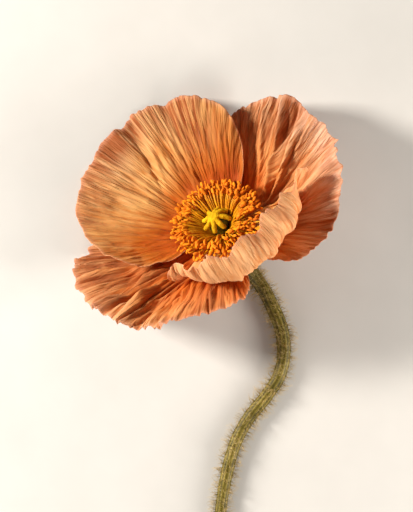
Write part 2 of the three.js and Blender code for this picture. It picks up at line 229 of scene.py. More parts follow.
PETALS["petal_front"] = dict(
    slot="petal_inner", root=(0.7, 7), pull=(0.74, 0.38),
    outline=[
        (112, 24.2, 5.4, 27), (113, 24.8, 8.2, 62), (115, 23.6, 11.4, 116), (119, 21.2, 13.2, 120),
        (126, 22, 14.6, 108), (134, 23.3, 15.5, 92), (143, 24.3, 17, 102), (150, 25, 19.5, 110),
        (156, 25.8, 22.5, 116), (161, 26.3, 24.8, 120), (167, 27, 22.3, 123), (174, 27.3, 22, 126),
        (179, 27.3, 24, 128), (184, 27.5, 26, 129), (189, 28, 26.4, 130), (194, 28.3, 23.5, 131),
        (200, 27.6, 23.6, 132), (204, 27.6, 25.6, 133), (207, 28, 26.6, 133), (212, 27, 23.5, 134),
        (219, 28.5, 22, 134), (225, 28.8, 23.3, 126), (230, 30.1, 20.5, 112), (235, 30.7, 19, 94),
        (239, 31.3, 20.5, 78), (243, 32.4, 22.5, 60), (246, 34.4, 19.5, 52), (249, 33.8, 15, 42),
        (251, 31, 11, 36), (253, 25, 7, 30),
    ],
    waves=[(0.4, 23, 0.9)],
    folds=[],
    creases=[
        (171, 2.5, 0.8, 0.4, 0.95, 0, 0), (198, 2.5, 0.7, 0.4, 0.95, 0, 0),
        (181, 1.2, 0.5, 0.35, 0.8, 8, 0), (190, 1.2, 0.5, 0.5, 0.95, -8, 0),
        (207, 1.4, 0.6, 0.3, 0.85, -10, 0), (218, 1.4, 0.6, 0.3, 0.9, -10, 0),
    ],
    broad=0.5, crests=0.5, grooves=0.7, wrinkles=0.25, side=-1, wash=(190, 60, -0.1, 0.28, 0.42), dusk=[],
    ruffle=0.6, teeth=1.3, seed=80,
)
print(len(PETALS), "petals")

# %% [markdown]
# A petal's form comes in two layers. The first is the solid's own: the fan of curves with its waves and
# folds, settled softly on the table. A spline joins the outline's rows, so a few rows give a flowing rim.

# %% The main form of a petal
TABLE_REST = 0.22
TABLE_SOFTNESS = 0.5


def outline_at(rows, place):
    """The outline's four numbers at each place, a spline through its rows."""
    rows = np.array(rows, float)
    last = len(rows) - 1
    index = np.minimum(np.floor(place), last - 1).astype(int)
    t = (place - index)[:, None]
    before, here = rows[np.maximum(index - 1, 0)], rows[index]
    there, after = rows[index + 1], rows[np.minimum(index + 2, last)]
    return cubic(here, there, (there - before) / 2, (after - here) / 2, t).T


def fan_curve(petal, reach, height, slope, out):
    """Reach and height on the curve from the root to the rim, out from 0 to 1."""
    root_height, root_slope = petal["root"]
    span = np.hypot(reach - PETAL_ROOT, height - root_height)
    leave, arrive = petal["pull"][0] * span, petal["pull"][1] * span
    lean, rim = math.radians(root_slope), np.radians(slope)
    reaches = [PETAL_ROOT, PETAL_ROOT + leave * math.cos(lean), reach - arrive * np.cos(rim), reach]
    heights = [root_height, root_height + leave * math.sin(lean), height - arrive * np.sin(rim), height]
    back = 1 - out
    parts = [back**3, 3 * back * back * out, 3 * back * out * out, out**3]
    return [sum(part * value for part, value in zip(parts, values)) for values in (reaches, heights)]


def main_relief(petal, azimuth, out):
    relief = sum(size * np.sin(np.radians(azimuth) * turns + phase) for size, turns, phase in petal["waves"])
    relief = relief * out**1.6
    for at, width, size, start, end in petal["folds"]:
        relief = relief + size * np.exp(-(((azimuth - at) / width) ** 2)) * smooth(start, end, out)
    return relief


def grid_normals(points):
    """Unit normals of a grid of points, on the side the bloom faces."""
    return unit(np.cross(np.gradient(points, axis=0), np.gradient(points, axis=1)))


def settle(points):
    """Lifts what would sink into the table, with a soft turn at the contact."""
    over = points[..., 2] - TABLE_REST
    points[..., 2] = TABLE_REST + (over + np.hypot(over, TABLE_SOFTNESS)) / 2
    return points


print("rim of the back petal, middle:", outline_at(PETALS["petal_back"]["outline"], np.array([7.0])).ravel())

# %% [markdown]
# The second layer is crepe. A poppy petal is packed in the bud like crumpled tissue, and its creases stay:
# fine pleats that fan out and split, sharp creases along the folds, flat facets between kinked lines, and a
# ruffle towards the rim. All are heights along the petal's normal in millimetres. Only the rim's teeth move
# in and out.

# %% The crepe of a petal
RIM_REACH = 45


def ridged(value, width):
    """1 on the line where the noise crosses zero, falling to 0 beside it."""
    return 1 - smooth(0, width, np.abs(value))


def crumple(azimuth, reach, along, size, seed):
    """Flat facets between kinked lines, as in tissue that was crushed and opened."""
    bend_one = noise(azimuth / 11, along / 11, seed + 30)
    bend_two = noise(azimuth / 9 + 31, along / 10, seed + 31)
    wide = fan_noise(azimuth + 5 * bend_one, reach, along + 6 * bend_two, size, size * 2.2, seed)
    fine = fan_noise(azimuth - 3 * bend_two, reach, along + 4 * bend_one, size * 0.5, size * 1.3, seed + 10)
    return (0.25 - np.abs(wide)) + 0.35 * (0.25 - np.abs(fine))


def crepe(petal, azimuth, reach, along, out):
    """Heights of the fine relief, and how deep in a groove each point lies, from 0 to 1."""
    seed = petal["seed"]
    drift = azimuth + 2.2 * noise(azimuth / 16, along / 24, seed + 50)
    bent = drift + 1.3 * noise(azimuth / 5, along / 7, seed + 58) * smooth(0.3, 0.8, out)
    broad = fan_noise(drift, reach, along, 4.8, 46, seed + 1)
    crests = 0.25 - np.abs(fan_noise(drift, reach, along, 1.6, 32, seed + 60))
    pleats = fan_noise(bent, reach, along, 1.3, 20, seed + 5)
    lines = fan_noise(drift, reach, along, 0.8, 15, seed + 12)
    crinkle = 0.25 - np.abs(fan_noise(bent, reach, along, 1.5, 8, seed + 70))
    patch = 0.75 + 0.5 * noise(azimuth / 16, along / 14, seed + 52)
    deep = ridged(pleats, 0.5)
    light = ridged(lines, 0.4) * smooth(-0.2, 0.5, noise(azimuth / 8, along / 9, seed + 51))
    sharp = petal["crests"] * crests - petal["grooves"] * (deep + 0.3 * light)
    height = petal["broad"] * broad + patch * sharp
    height = height * smooth(0.02, 0.3, out) * (1 - 0.25 * smooth(0.8, 1, out))
    rough = smooth(0.25, 0.9, out) * smooth(-0.6, 0.4, noise(azimuth / 18 + 7, along / 13, seed + 53))
    crushed = 2.4 * crumple(azimuth, reach, along, 6.0, seed + 20) + 1.5 * crinkle
    height = height + petal["wrinkles"] * rough * crushed
    for at, width, size, start, end, turn, skew in petal["creases"]:
        line = (azimuth - at - turn * (1 - out) ** 2) / width
        line = np.where(line > 0, line * (1 + skew), line * (1 - skew))
        shown = smooth(start - 0.15, start + 0.1, out) * (1 - smooth(end, end + 0.12, out))
        height = height + size * np.exp(-np.hypot(line, 0.15)) * shown
    round_rim = azimuth * RIM_REACH / DEGREES
    rim = noise(round_rim / 3.6, 0.5, seed + 54) + 0.5 * noise(round_rim / 1.9, 0.5, seed + 55)
    height = height + petal["ruffle"] * rim * out**9
    groove = np.clip(patch * (0.8 * deep + 0.35 * light), 0, 1) * smooth(0.05, 0.3, out)
    return height * petal["side"], groove


def rim_teeth(petal, azimuth, reach):
    """How far the rim stands out or in, in millimetres."""
    at = azimuth * reach / DEGREES
    teeth = noise(at / 2.6, 0.5, petal["seed"] + 56) + 0.6 * noise(at / 1.1, 0.5, petal["seed"] + 57)
    return petal["teeth"] * np.minimum(0.5 * teeth, 0.25)


test = np.linspace(-60, 90, 400)
print("teeth from", rim_teeth(PETALS["petal_back"], test, RIM_REACH).min().round(2), "mm")

# %% [markdown]
# A grid becomes a closed sheet by giving it two faces, a little apart, and a strip round the edge. It thins
# towards the rim, which then reads as tissue and not as card. Numbers that the finish needs, such as how deep
# in a groove a point lies, are stored on the points as attributes.

# %% Build the petals
PETAL_COLUMNS = 380
PETAL_STEPS = 115
ROOT_THICKNESS = 0.5
RIM_THICKNESS = 0.16
# The outer side is painted paler: partly its own tint, partly painted light shining through.
OUTSIDE_PALER_AND_LIT = 0.3


def new_piece(name, points, faces, edges=()):
    """A mesh object from points in millimetres."""
    mesh = bpy.data.meshes.new(name)
    mesh.from_pydata((np.asarray(points) * MM).tolist(), list(edges), [list(face) for face in faces])
    mesh.validate()
    mesh.shade_smooth()
    piece = bpy.data.objects.new(name, mesh)
    bpy.context.scene.collection.objects.link(piece)
    return piece


def store(piece, title, values, kind="FLOAT"):
    """Keeps numbers on the piece's points, for a finish or a node tree to read."""
    values = np.asarray(values, bool if kind == "BOOLEAN" else np.float32)
    key = "vector" if kind == "FLOAT_VECTOR" else "value"
    piece.data.attributes.new(title, kind, "POINT").data.foreach_set(key, values.ravel())


def baked(piece):
    """Makes what the piece's modifiers show its own mesh."""
    ready = piece.evaluated_get(bpy.context.evaluated_depsgraph_get())
    mesh = bpy.data.meshes.new_from_object(ready)
    piece.modifiers.clear()
    piece.data = mesh
    mesh.shade_smooth()
    return mesh


def sheet_faces(rows, columns):
    """Quads of the upper face, the lower face and the strip round the edge."""
    at = np.arange(rows * columns).reshape(rows, columns)
    below = rows * columns
    upper = np.stack([at[:-1, :-1], at[1:, :-1], at[1:, 1:], at[:-1, 1:]], -1).reshape(-1, 4)
    lower = upper[:, ::-1] + below
    loop = np.concatenate([at[:-1, 0], at[-1, :-1], at[:0:-1, -1], at[0, :0:-1]])
    after = np.roll(loop, -1)
    strip = np.stack([after, loop, loop + below, after + below], -1)
    return np.concatenate([upper, lower, strip])


def even_places(rows):
    """Places on the outline that lie evenly along its length."""
    place = np.linspace(0, len(rows) - 1, 2000)
    azimuth, reach, height, _ = outline_at(rows, place)
    length = length_along(bloom_point(reach, azimuth, height))
    return np.interp(np.linspace(0, length[-1], PETAL_COLUMNS), length, place)


def petal_piece(name, petal):
    azimuth, rim_reach, rim_height, rim_slope = outline_at(petal["outline"], even_places(petal["outline"]))
    out = np.linspace(0, 1, PETAL_STEPS)[:, None]
    stretch = 1 + rim_teeth(petal, azimuth, rim_reach) / rim_reach
    run = out * (1 + (stretch - 1) * out**6)
    reach, height = fan_curve(petal, rim_reach, rim_height, rim_slope, run)
    azimuth = np.broadcast_to(azimuth, reach.shape)
    steps = np.hypot(np.diff(reach, axis=0), np.diff(height, axis=0))
    along = np.concatenate([np.zeros((1, PETAL_COLUMNS)), np.cumsum(steps, axis=0)])
    spread = np.maximum(along, 4)  # how wide the fan is there, in the flat petal

    flat = bloom_point(reach, azimuth, height)
    main = flat + grid_normals(flat) * main_relief(petal, azimuth, run)[..., None]
    fine, groove = crepe(petal, azimuth, spread, along, out)
    points = settle(main + grid_normals(main) * fine[..., None])

    normals = grid_normals(points)
    thick = RIM_THICKNESS + (ROOT_THICKNESS - RIM_THICKNESS) * (1 - out[..., None]) ** 0.7
    sides = []
    for side in (0.5, -0.5):
        face = points + normals * thick * side
        face[..., 2] = np.maximum(face[..., 2], 0.02)
        sides.append(face.reshape(-1, 3))
    piece = new_piece(name, np.concatenate(sides), sheet_faces(PETAL_STEPS, PETAL_COLUMNS))

    fan = np.stack([azimuth / DEGREES, spread / 50, np.broadcast_to(out, reach.shape)], -1)
    # Own colour and painted light and shade: paler where the petal is lit, darker where it turns away.
    middle, width, lost, start, gain = petal["wash"]
    fade = start + gain * out - lost * ((azimuth - middle) / width) ** 2
    # Dusk patches: partly a dusky tint, partly painted shade where a fold or another petal shades it.
    dusk = np.zeros(reach.shape)
    for at, width, start, end, share in petal["dusk"]:
        dusk = np.maximum(dusk, share * np.exp(-(((azimuth - at) / width) ** 2)) * smooth(start, end, out))
    for title, values in {"groove": groove, "fade": fade, "dusk": dusk, "fan": fan}.items():
        # Outer faces painted paler, partly own tint and partly painted light.
        below = values + OUTSIDE_PALER_AND_LIT if title == "fade" else values
        store(piece, title, np.stack([values, below]), "FLOAT_VECTOR" if title == "fan" else "FLOAT")
    print(name, len(piece.data.polygons), "faces, lowest", points[..., 2].min().round(2), "mm")
    return piece


petals = {name: petal_piece(name + "_blade", petal) for name, petal in PETALS.items()}

# %% [markdown]
# Materials are node graphs, and most of a graph is arithmetic. A Wire holds one socket, and its operators add
# Math nodes, so a rule reads as a line of Python. A Graph adds any other node from its type, settings and
# inputs. A Look is the graph of one material, with short names for common nodes.

# %% Helpers for node graphs
class Wire:
    """One socket of a node graph, with operators that add Math nodes."""

    def __init__(self, graph, socket):
        self.graph, self.socket = graph, socket

    def math(self, operation, *others):
        return self.graph.add("ShaderNodeMath", {"operation": operation}, dict(enumerate((self, *others))))

    def __add__(self, other):
        return self.math("ADD", other)

    def __sub__(self, other):
        return self.math("SUBTRACT", other)

    def __mul__(self, other):
        return self.math("MULTIPLY", other)

    def span(self, low, high, to_low=0.0, to_high=1.0):
        """Maps low..high smoothly to to_low..to_high."""
        settings = {"interpolation_type": "SMOOTHSTEP"}
        inputs = {"Value": self, "From Min": low, "From Max": high, "To Min": to_low, "To Max": to_high}
        return self.graph.add("ShaderNodeMapRange", settings, inputs)


class Graph:
    """A node tree and the one method that adds its nodes."""

    def __init__(self, tree):
        self.tree = tree
        tree.nodes.clear()

    def add(self, kind, settings=None, inputs=None, output=0):
        """Adds a node with its settings first, then its inputs, and returns one of its outputs."""
        node = self.tree.nodes.new(kind)
        for key, value in (settings or {}).items():
            if key == "stops":
                ramp = node.color_ramp
                while len(ramp.elements) < len(value):
                    ramp.elements.new(0.5)
                for element, (position, colour) in zip(ramp.elements, value):
                    element.position = position
                    element.color = (*colour, 1)
            else:
                setattr(node, key, value)
        for key, value in (inputs or {}).items():
            if isinstance(value, Wire):
                self.tree.links.new(value.socket, node.inputs[key])
            elif isinstance(value, tuple) and node.inputs[key].type == "RGBA":
                node.inputs[key].default_value = (*value, 1)
            else:
                node.inputs[key].default_value = value
        return Wire(self, node.outputs[output]) if node.outputs else None


class Look(Graph):
    """A material made of nodes."""

    def __init__(self, name):
        self.material = bpy.data.materials.new(name)
        self.material.use_nodes = True
        super().__init__(self.material.node_tree)

    def colours(self, factor, first, second, blend="MIX"):
        settings = {"data_type": "RGBA", "blend_type": blend}
        return self.add("ShaderNodeMix", settings, {0: factor, 6: first, 7: second}, 2)

    def ramp(self, factor, stops):
        return self.add("ShaderNodeValToRGB", {"stops": stops}, {0: factor})

    def noise(self, vector, scale, detail=3, roughness=0.55):
        inputs = {"Vector": vector, "Scale": scale, "Detail": detail, "Roughness": roughness}
        return self.add("ShaderNodeTexNoise", None, inputs)

    def place(self):
        return self.add("ShaderNodeTexCoord", None, None, "Object")

    def attribute(self, name, output="Vector"):
        return self.add("ShaderNodeAttribute", {"attribute_name": name}, None, output)

    def stretch(self, vector, scale):
        return self.add("ShaderNodeMapping", None, {"Vector": vector, "Scale": scale})

    def bump(self, height, distance, strength=1.0):
        inputs = {"Height": height, "Distance": distance, "Strength": strength}
        return self.add("ShaderNodeBump", None, inputs)

    def surface(self, colour, roughness, normal, **fixed):
        """The Principled shader, with any other socket set to a fixed value."""
        inputs = {"Base Color": colour, "Roughness": roughness, "Normal": normal}
        inputs.update({key.replace("_", " "): value for key, value in fixed.items()})
        return self.add("ShaderNodeBsdfPrincipled", None, inputs)

    def finish(self, shader):
        self.add("ShaderNodeOutputMaterial", None, {"Surface": shader})
        return self.material


print("helpers ready")

# %% [markdown]
# A petal's colour is a wash from hot orange-red at the root, through orange, to faded peach and a dusky pink
# rim. Noise stretched along the fan draws streaks and veins, and breaks the dusk patches, partly painted
# shade, into ribbons. Grooves and creases are painted darker, as painted shade. The rim's pink tint carries
# a painted highlight, and the outer side is painted paler, partly its own tint and partly painted light.
# Petals pass light, so a Translucent shader is mixed in.

# %% Petal finish
OUTER_WASH = [
    (0.05, (0.52, 0.07, 0.004)), (0.3, (0.64, 0.16, 0.016)), (0.58, (0.78, 0.375, 0.13)),
    (0.85, (0.86, 0.52, 0.28)), (1.0, (0.96, 0.64, 0.45)),
]
INNER_WASH = [
    (0.05, (0.5, 0.085, 0.004)), (0.28, (0.6, 0.19, 0.022)), (0.5, (0.8, 0.472, 0.16)),
    (0.8, (0.82, 0.53, 0.26)), (1.0, (0.94, 0.59, 0.29)),
]
# Dusky tint and painted shade; pink rim and painted highlight; veins and painted shade in grooves.
DUSK_AND_SHADE, RIM_TINT_AND_HIGHLIGHT, GROOVE_SHADE_TINT = (0.37, 0.125, 0.042), (0.78, 0.42, 0.27), (0.74, 0.48, 0.28)


def fan_bands(look, fan, spread, spacing, length):
    """Noise whose streaks fan out: three bands, each twice as dense as the one before it."""
    bands = []
    for reach in (11, 22, 44):
        bands.append(look.noise(look.stretch(fan, (reach / spacing, 50 / length, 0)), 1, 2, 0.5))
    inner, middle, rim = bands
    some = inner + (middle - inner) * spread.span(0.25, 0.4)
    return some + (rim - some) * spread.span(0.5, 0.75)


def veins(look, fan, spread, spacing, length):
    """Fine lines that fan out, 1 on a line and 0 beside it."""
    return (fan_bands(look, fan, spread, spacing, length) - 0.5).math("ABSOLUTE").span(0.0, 0.07, 1, 0)


def petal_look(name, wash, sheer, glow):
    look = Look(name)
    fan = look.attribute("fan")
    out = look.add("ShaderNodeSeparateXYZ", None, {0: fan}, "Z")
    spread = look.add("ShaderNodeSeparateXYZ", None, {0: fan}, "Y")
    groove, fade = look.attribute("groove", "Fac"), look.attribute("fade", "Fac")
    place = look.place()
    cloud = look.noise(place, 55, 3, 0.5)
    streak = look.noise(look.stretch(fan, (26, 1.6, 0)), 1, 4, 0.6)
    thread = look.noise(look.stretch(fan, (75, 2.2, 0)), 1, 3, 0.6)
    some = look.noise(look.stretch(fan, (7, 2.5, 0)), 1, 3, 0.5).span(0.35, 0.6, 0.3, 1)
    vein, crease = some * veins(look, fan, spread, 0.8, 16), some * veins(look, fan, spread, 1.7, 24)
    base = look.ramp(fade + (cloud - 0.5) * 0.4 + (streak - 0.5) * 0.35, wash)
    faded = (look.noise(place, 95, 2, 0.5) + out * 0.62).span(0.98, 1.3) * 0.7
    ribbon = fan_bands(look, fan, spread, 1.3, 26).span(0.4, 0.62, 0.5, 1.3)
    # The dusky tint and painted shade, broken into ribbons.
    dusk_and_shade_share = look.attribute("dusk", "Fac") * (cloud + 0.5) * ribbon
    dusky_and_shaded = look.colours(faded.math("MAXIMUM", dusk_and_shade_share), base, DUSK_AND_SHADE)
    # Veins, and painted shade in grooves and creases, deepen the colour.
    depth = groove * 0.5 + vein * 0.42 + crease * 0.5
    veined_and_shaded = look.colours(depth.math("MINIMUM", 1.0), dusky_and_shaded, GROOVE_SHADE_TINT, "MULTIPLY")
    # The pink rim, with a painted highlight along its lit edge.
    rimmed = look.colours(out.span(0.96, 1.0) * 0.4, veined_and_shaded, RIM_TINT_AND_HIGHLIGHT)
    pleat = (fan_bands(look, fan, spread, 1.1, 12) - 0.5).math("ABSOLUTE")
    relief = look.noise(place, 900, 2, 0.5) * 0.12 + thread * 0.25 - vein * 0.4 - crease * 0.4 - pleat * 5.5
    normal = look.bump(relief, 0.00028, 0.9)
    sheen = {"Sheen_Weight": 0.06, "Sheen_Roughness": 0.5, "Sheen_Tint": (1.0, 0.7, 0.5)}
    surface = look.surface(rimmed, thread * 0.2 + 0.55, normal, Specular_IOR_Level=0.12, **sheen)
    through = look.add("ShaderNodeBsdfTranslucent", None, {"Color": glow, "Normal": normal})
    return look.finish(look.add("ShaderNodeMixShader", None, {0: sheer, 1: surface, 2: through}))


petal_finishes = {
    "petal_outer": petal_look("petal_outer", OUTER_WASH, 0.25, (0.9, 0.3, 0.07)),
    "petal_inner": petal_look("petal_inner", INNER_WASH, 0.35, (0.95, 0.42, 0.14)),
}
for name, petal in PETALS.items():
    petals[name].data.materials.append(petal_finishes[petal["slot"]])
print("petal finishes:", list(petal_finishes))

# %% [markdown]
# Inside the petals stands a dense ring of stamens: a thread, the filament, with a plump two-lobed pouch of
# pollen, the anther, at its tip. The script only draws their centre lines. Geometry Nodes turn the lines into
# threads and set an anther on each tip. A Growth is the graph of one such modifier, and its named inputs
# carry the sizes.

# %% Helpers for geometry nodes
class Growth(Graph):
    """A Geometry Nodes tree with named inputs, applied to one object."""

    def __init__(self, name, **sizes):
        super().__init__(bpy.data.node_groups.new(name, "GeometryNodeTree"))
        kinds = {int: "Int", float: "Float", bpy.types.Material: "Material", bpy.types.Object: "Object"}
        face = self.tree.interface
        face.new_socket("Geometry", in_out="INPUT", socket_type="NodeSocketGeometry")
        face.new_socket("Geometry", in_out="OUTPUT", socket_type="NodeSocketGeometry")
        self.values = {}
        for title, value in sizes.items():
            kind = "NodeSocket" + kinds[type(value)]
            socket = face.new_socket(title, in_out="INPUT", socket_type=kind)
            self.values[socket.identifier] = value
        self.inputs = self.tree.nodes.new("NodeGroupInput")

    def input(self, title="Geometry"):
        return Wire(self, self.inputs.outputs[title])

    def named(self, title, kind="FLOAT"):
        """An attribute stored on the points."""
        return self.add("GeometryNodeInputNamedAttribute", {"data_type": kind}, {"Name": title})

    def form(self, title):
        """The mesh of the object in that input."""
        return self.add("GeometryNodeObjectInfo", None, {"Object": self.input(title)}, "Geometry")

    def painted(self, geometry, title):
        """The geometry with the material in that input."""
        inputs = {"Geometry": geometry, "Material": self.input(title)}
        return self.add("GeometryNodeSetMaterial", None, inputs)

    def gathered(self, kind, parts):
        """A node whose one input takes several parts."""
        result = self.add(kind)
        for part in parts:
            self.tree.links.new(part.socket, result.socket.node.inputs[0])
        return result

    def sized(self, low, high, title):
        """A random multiple of that input."""
        inputs = {2: low, 3: high, "Seed": self.input("seed")}
        return self.add("FunctionNodeRandomValue", None, inputs, 1) * self.input(title)

    def turned(self, rotation, low, high):
        """The rotation with a random one added about its own axes."""
        inputs = {0: low, 1: high, "Seed": self.input("seed")}
        angles = self.add("FunctionNodeRandomValue", {"data_type": "FLOAT_VECTOR"}, inputs)
        more = self.add("FunctionNodeEulerToRotation", None, {0: angles})
        return self.add("FunctionNodeRotateRotation", {"rotation_space": "LOCAL"}, {0: rotation, 1: more})

    def apply(self, piece, result):
        """Ends the tree, runs it on the piece and leaves the piece a plain mesh."""
        self.add("NodeGroupOutput", None, {0: self.add("GeometryNodeRealizeInstances", None, {0: result})})
        modifier = piece.modifiers.new(self.tree.name, "NODES")
        modifier.node_group = self.tree
        for identifier, value in self.values.items():
            modifier[identifier] = value
        print(piece.name, len(baked(piece).polygons), "faces")
        return piece


def helper_piece(name, points, faces):
    """A small mesh that a tree repeats, taken out of the scene itself."""
    piece = new_piece(name, points, faces)
    bpy.context.scene.collection.objects.unlink(piece)
    return piece


print("growth helpers ready")

# %% [markdown]
# One anther is drawn once, standing on its foot along Z and one millimetre long, so that the tree can size
# it. It has two lobes with a groove between them. Ten points at seven heights are enough, because it is
# repeated so often.

# %% One anther
ANTHER_SIDES = 10
ANTHER_PROFILE = ((0, 0.05), (0.06, 0.15), (0.22, 0.22), (0.5, 0.25), (0.78, 0.23), (0.94, 0.14), (1, 0.04))


def rings_to_faces(rings, sides):
    """Quads between rings of points, and a fan at each end."""
    faces = []
    for ring in range(rings - 1):
        for side in range(sides):
            a, b = ring * sides + side, ring * sides + (side + 1) % sides
            faces.append((a, b, b + sides, a + sides))
    faces.append(tuple(range(sides))[::-1])
    faces.append(tuple(range((rings - 1) * sides, rings * sides)))
    return faces


def anther_points():
    points = []
    for height, width in ANTHER_PROFILE:
        for side in range(ANTHER_SIDES):
            turn = 2 * math.pi * side / ANTHER_SIDES
            waist = 1 - 0.38 * math.exp(-((math.cos(turn) / 0.42) ** 2))
            bow = 0.08 * math.sin(height * math.pi)
            points.append((width * math.cos(turn), 0.82 * width * waist * math.sin(turn) + bow, height))
    return np.array(points)


anther = helper_piece("anther_form", anther_points(), rings_to_faces(len(ANTHER_PROFILE), ANTHER_SIDES))
print("anther", len(anther.data.polygons), "faces")

# %% [markdown]
# Each stamen starts on the ring round the ovary, rises in a soft bow and ends in the band of anthers. They
# stand in four tiers, the outer ones lower and further out. Seeded draws give every stamen its own sway, so
# the band is crowded but never regular.

# %% Centre lines of the stamens
STAMENS = 320
STAMEN_TIERS = 4
THREAD_POINTS = 9
THREAD_RADIUS, ANTHER_LENGTH = 0.21, 2.2


def stamen_lines():
    draw = np.random.default_rng(7)
    lines, aims = [], []
    for k in range(STAMENS):
        tier = k % STAMEN_TIERS
        part = (tier + draw.random()) / STAMEN_TIERS
        azimuth = k * 360 / STAMENS
        sway = draw.uniform(-6, 6)
        foot = bloom_point(2.9 + 1.2 * tier / (STAMEN_TIERS - 1), azimuth, 1.9)
        reach = 8.4 + (5.6 + 3.0 * math.exp(-(((azimuth - 190) / 46) ** 2))) * part
        height = 9.0 - 1.6 * part + draw.uniform(-0.8, 0.8)
        nod = draw.uniform(-15, 55)
        turn = azimuth + sway + draw.uniform(-3, 3)
        tip = bloom_point(reach, turn, height)
        further, higher = 2 * math.cos(math.radians(nod)), 2 * math.sin(math.radians(nod))
        ahead = bloom_point(reach + further, turn + draw.uniform(-4, 4) * 1.5, height + higher)
        sideways = bloom_point(1, azimuth + 90, 0) - FLOWER_AT
        belly = foot * 0.4 + tip * 0.6 + AXIS * 1.5 + sideways * draw.uniform(-0.5, 0.5)
        t = np.linspace(0, 1, THREAD_POINTS)[:, None]
        lines.append(foot * (1 - t) ** 2 + 2 * belly * t * (1 - t) + tip * t**2)
        aims.append(unit(ahead - tip))
    return np.array(lines), np.array(aims)


thread_lines, anther_aims = stamen_lines()
tip_heights = thread_lines[:, -1, 2]
print(STAMENS, "stamens, tips", tip_heights.min().round(1), "to", tip_heights.max().round(1), "mm up")

# %% [markdown]
# Filaments are straw yellow and glassy. Anthers are a powdery orange, rough and finely grained, because
# pollen breaks up their shine. The simplest finishes share one function, in which a single noise sets colour,
# roughness and relief.

# %% Stamen finishes
STRAW = [(0.3, (0.5, 0.16, 0.001)), (0.5, (0.66, 0.26, 0.002)), (0.75, (0.78, 0.4, 0.005))]
POLLEN = [(0.3, (0.5, 0.1, 0.001)), (0.5, (0.68, 0.18, 0.002)), (0.72, (0.82, 0.3, 0.006))]


def grain_look(name, scale, detail, stops, rough, varies, depth, **fixed):
    """A finish whose colour, roughness and relief all follow one grain."""
    look = Look(name)
    grain = look.noise(look.place(), scale, detail)
    colour, normal = look.ramp(grain, stops), look.bump(grain, depth)
    return look.finish(look.surface(colour, grain * varies + rough, normal, **fixed))


def anther_look():
    look = Look("anther")
    place = look.place()
    grain, dust = look.noise(place, 420, 4), look.noise(place, 3800, 2)
    dusted = look.colours(dust.span(0.55, 0.75) * 0.5, look.ramp(grain, POLLEN), (0.92, 0.38, 0.012))
    normal = look.bump(dust, 0.00008)
    return look.finish(look.surface(dusted, dust * 0.2 + 0.65, normal, Specular_IOR_Level=0.2))


thread_finish = grain_look("filament", 700, 3, STRAW, 0.4, 0.2, 0.0001, Specular_IOR_Level=0.3)
anther_finish = anther_look()
print("stamen finishes ready")

# %% [markdown]
# The tree reads the centre lines twice. As curves they get a thin round section. Their tips, marked by an
# attribute, each take an anther that points along the stored aim, turned and sized at random.

# %% Grow the stamens
def grow_stamens():
    steps = range(THREAD_POINTS - 1)
    edges = [(k * THREAD_POINTS + i, k * THREAD_POINTS + i + 1) for k in range(STAMENS) for i in steps]
    piece = new_piece("stamens_ring", thread_lines.reshape(-1, 3), [], edges)
    store(piece, "tip", np.tile(np.arange(THREAD_POINTS) == THREAD_POINTS - 1, STAMENS), "BOOLEAN")
    store(piece, "aim", np.repeat(anther_aims, THREAD_POINTS, axis=0), "FLOAT_VECTOR")

    sizes = dict(thread_radius=THREAD_RADIUS * MM, anther_length=ANTHER_LENGTH * MM, anther=anther, seed=5)
    tree = Growth("stamen_growth", **sizes, thread_finish=thread_finish, anther_finish=anther_finish)
    lines = tree.add("GeometryNodeMeshToCurve", None, {"Mesh": tree.input()})
    circle = {"Resolution": 6, "Radius": tree.input("thread_radius")}
    section = tree.add("GeometryNodeCurvePrimitiveCircle", None, circle)
    sweep = {"Curve": lines, "Profile Curve": section, "Fill Caps": True}
    threads = tree.add("GeometryNodeCurveToMesh", None, sweep)

    aim_to = {"Vector": tree.named("aim", "FLOAT_VECTOR")}
    aimed = tree.add("FunctionNodeAlignRotationToVector", {"axis": "Z"}, aim_to)
    places = {
        "Points": tree.input(),
        "Selection": tree.named("tip", "BOOLEAN"),
        "Instance": tree.form("anther"),
        "Rotation": tree.turned(aimed, (0.0, 0.0, 0.0), (0.3, 0.3, 6.28)),
        "Scale": tree.sized(780.0, 1150.0, "anther_length"),
    }
    anthers = tree.add("GeometryNodeInstanceOnPoints", None, places)
    parts = [tree.painted(threads, "thread_finish"), tree.painted(anthers, "anther_finish")]
    return tree.apply(piece, tree.gathered("GeometryNodeJoinGeometry", parts))


stamens = grow_stamens()

# %% [markdown]
# In the middle sits the seed case, the ovary, and over it droop the velvety fingers of the stigma. Fingers
# that grow out of one hub have no seams, so they are drawn as separate tubes with domed tips and fused
# afterwards.

# %% Tubes
DOME_RINGS = 5


def tube_rings(points, radii, sides, upward, section=None):
    """Rings of points round a centre line. The section scales the radius by angle."""
    points = np.asarray(points, float)
    ahead = unit(np.gradient(points, axis=0))
    aside = unit(np.cross(upward, ahead))
    above = np.cross(ahead, aside)
    turn = np.linspace(0, 2 * math.pi, sides, endpoint=False)
    radius = np.asarray(radii)[:, None] * (np.ones((1, sides)) if section is None else section)
    across = (radius * np.cos(turn))[..., None] * aside[:, None]
    return points[:, None] + across + (radius * np.sin(turn))[..., None] * above[:, None]


def rounded(points, radii):
    """The same centre line with a dome of small rings at its far end."""
    ahead = unit(points[-1] - points[-2])
    turn = np.linspace(0, math.pi / 2, DOME_RINGS + 1)[1:]
    dome = points[-1] + ahead * (radii[-1] * np.sin(turn))[:, None]
    return np.concatenate([points, dome]), np.concatenate([radii, np.maximum(radii[-1] * np.cos(turn), 0.02)])


def joined(name, meshes):
    """One mesh from several (points, faces)."""
    points, faces, start = [], [], 0
    for part_points, part_faces in meshes:
        points.append(part_points.reshape(-1, 3))
        faces += [tuple(start + corner for corner in face) for face in part_faces]
        start += len(points[-1])
    return new_piece(name, np.concatenate(points), faces)


print("tube helpers ready")

